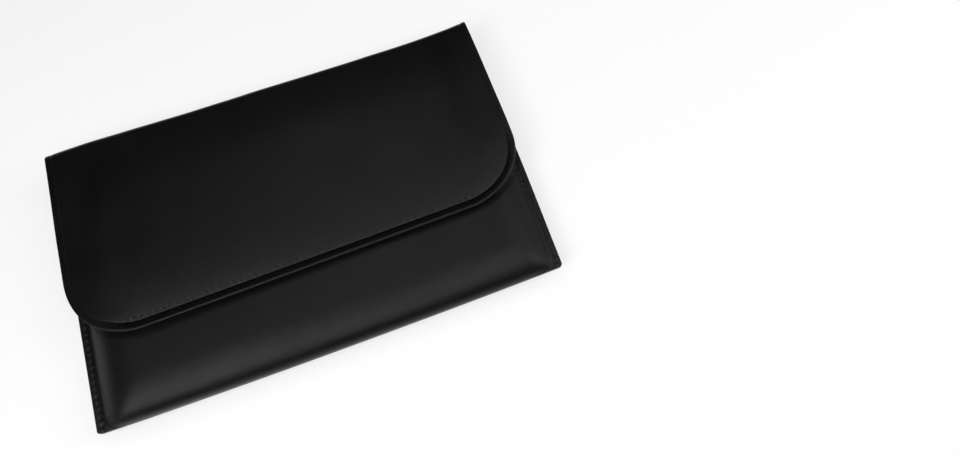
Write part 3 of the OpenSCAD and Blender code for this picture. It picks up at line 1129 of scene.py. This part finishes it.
def declareSheets():
    # Each flap sheet's flat width and length are worked out and not kept; the flap's pieces lose their two
    # round corners. The pouch's sheets, plain strips as long as the way over the front, round the fold, up
    # the back and the spine, are not handled here
    def cut(piece, inset, held, under):
        width, length = 2 * (flatHalf - inset), spineEnd - flap["low"] - inset
        if inset > 0:
            length -= creaseTurn * (1 - (creaseInner + flap["lining"] / 2) / pouch["creaseRadius"])

    cut(flapLeather, 0, "stretched", "flapFoam")
    cut(flapLining, liningRings[0], "stretched", "flapBoard")


assemble()
declareSheets()
nodeMaterials = {
    "back_board": "greyBoard",
    "front_plate_left": "steelPlate",
    "front_plate_right": "steelPlate",
    "flap_magnet_left": "nickelPlate",
    "flap_magnet_right": "nickelPlate",
}
for nodeName, finish in nodeMaterials.items():
    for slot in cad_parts[nodeName].material_slots:
        slot.material = finishes[finish]


# Camera
cameraLook = {
    "focalPixels": 620.0,
    "elevation": 71.3,
    "distance": 338.9,
    "centre": (-94.9, 4.3),  # place of the wallet's origin from the middle of the picture
    "turn": 20.31,  # the wallet lies turned by this angle, anticlockwise
    "pictureWidth": 960,
    "sensorWidth": 36,
    "nearest": 0.01,
}


def buildCamera(look):
    data = bpy.data.cameras.new("camera")
    data.sensor_width = look["sensorWidth"]
    data.lens = look["focalPixels"] / look["pictureWidth"] * look["sensorWidth"]
    data.clip_start = look["nearest"]
    camera = bpy.data.objects.new("camera", data)
    bpy.context.scene.collection.objects.link(camera)
    el = math.radians(look["elevation"])
    back = Vector((0, -math.cos(el), math.sin(el)))
    right = Vector((1, 0, 0))
    up = back.cross(right)
    turn = Matrix.Rotation(-math.radians(look["turn"]), 4, "Z")
    toWallet = turn @ Matrix.Translation(Vector((-look["centre"][0], -look["centre"][1], 0)) * mm)
    pose = Matrix((right, up, back)).transposed().to_4x4()
    pose.translation = back * look["distance"] * mm
    camera.matrix_world = toWallet @ pose
    bpy.context.scene.camera = camera


buildCamera(cameraLook)


# Light and floor
studio = {
    "ambient": 0.15,
    "horizon": 0.8,  # brightness of the surroundings in reflections, near the table and above
    "ceiling": 0.012,
    "horizonFade": (0.02, 0.11),
    "floorColour": 0.5,
    "floorGlow": 0.52,
    "floorFade": (0.25, 0.7),  # the floor turns into plain white between these distances
    "floorSize": 6.0,
    "floorDrop": 0.0002,
    "lampDistance": 0.8,
    "lampSize": 0.3,
    # each lamp: degrees from overhead towards +X, towards +Y, and its share of the light
    "lamps": {
        "leftLamp": (-38, -28, 0.27),
        "middleLamp": (-22, -12, 0.14),
        "overheadLamp": (20, -15, 0.18),
        "rightLamp": (60, -20, 0.16),
        "farRightLamp": (42, 10, 0.09),
        "frontLamp": (0, -35, 0.12),
        "backLamp": (0, 20, 0.08),
    },
}


def areaLamp(name, tiltX, tiltY, share):
    # A share of 1 from overhead lights the table at the plain level
    away = Vector((math.tan(math.radians(tiltX)), math.tan(math.radians(tiltY)), 1)).normalized()
    data = bpy.data.lights.new(name, "AREA")
    data.shape = "DISK"
    data.size = studio["lampSize"]
    data.energy = share * (math.pi * studio["lampDistance"]) ** 2
    lamp = bpy.data.objects.new(name, data)
    bpy.context.scene.collection.objects.link(lamp)
    lamp.location = away * studio["lampDistance"]
    lamp.rotation_euler = away.to_track_quat("Z", "Y").to_euler()


def shownRays(tree):
    # Camera, glossy and transmission rays see the pale background
    path = addNode(tree, "ShaderNodeLightPath").outputs
    shown = mathNode(tree, "MAXIMUM", path["Is Camera Ray"], path["Is Glossy Ray"])
    return mathNode(tree, "MAXIMUM", shown, path["Is Transmission Ray"])


def mixShader(tree, share, first, second):
    return addNode(tree, "ShaderNodeMixShader", {"Fac": share, 1: first.outputs[0], 2: second.outputs[0]})


def buildWorld():
    world = bpy.data.worlds.new("studio")
    bpy.context.scene.world = world
    world.use_nodes = True
    tree = world.node_tree
    tree.nodes.clear()
    direction = addNode(tree, "ShaderNodeTexCoord").outputs["Generated"]
    dome = addNode(tree, "ShaderNodeMapRange", {
        "Value": addNode(tree, "ShaderNodeSeparateXYZ", {0: direction}).outputs["Z"],
        "From Min": studio["horizonFade"][0],
        "From Max": studio["horizonFade"][1],
        "To Min": studio["horizon"],
        "To Max": studio["ceiling"],
    })
    dome.interpolation_type = "SMOOTHSTEP"
    camera = addNode(tree, "ShaderNodeLightPath").outputs["Is Camera Ray"]
    strength = mathNode(tree, "MAXIMUM", dome.outputs["Result"], camera)
    white = (1, 1, 1, 1)
    seen = addNode(tree, "ShaderNodeBackground", {"Color": white, "Strength": strength})
    light = addNode(tree, "ShaderNodeBackground", {"Color": white, "Strength": studio["ambient"]})
    showSurface(tree, mixShader(tree, shownRays(tree), light, seen), "ShaderNodeOutputWorld")


def buildFloor():
    material, tree, diffuse = newMaterial("floorWhite", "ShaderNodeBsdfDiffuse")
    setInputs(tree, diffuse, {"Color": (*[studio["floorColour"]] * 3, 1)})
    strength = mathNode(tree, "MULTIPLY", shownRays(tree), studio["floorGlow"])
    glow = addNode(tree, "ShaderNodeEmission", {"Strength": strength})
    both = addNode(tree, "ShaderNodeAddShader", {0: diffuse.outputs[0], 1: glow.outputs[0]})
    # far from the lamps the floor turns into plain white
    coords = addNode(tree, "ShaderNodeTexCoord").outputs["Object"]
    distance = vectorNode(tree, "LENGTH", {0: coords})["Value"]
    fade = rangeNode(tree, distance, 0, 1, *studio["floorFade"])
    far = addNode(tree, "ShaderNodeEmission", {"Strength": shownRays(tree)})
    showSurface(tree, mixShader(tree, fade, both, far))
    size, low = studio["floorSize"], -studio["floorDrop"]
    mesh = bpy.data.meshes.new("floor")
    corners = [(-size, -size, low), (size, -size, low), (size, size, low), (-size, size, low)]
    mesh.from_pydata(corners, [], [(0, 1, 2, 3)])
    mesh.materials.append(material)
    floor = bpy.data.objects.new("floor", mesh)
    bpy.context.scene.collection.objects.link(floor)


for lampName, place in studio["lamps"].items():
    areaLamp(lampName, *place)
buildWorld()
buildFloor()
bpy.context.scene.view_settings.view_transform = "Standard"
print("studio done")
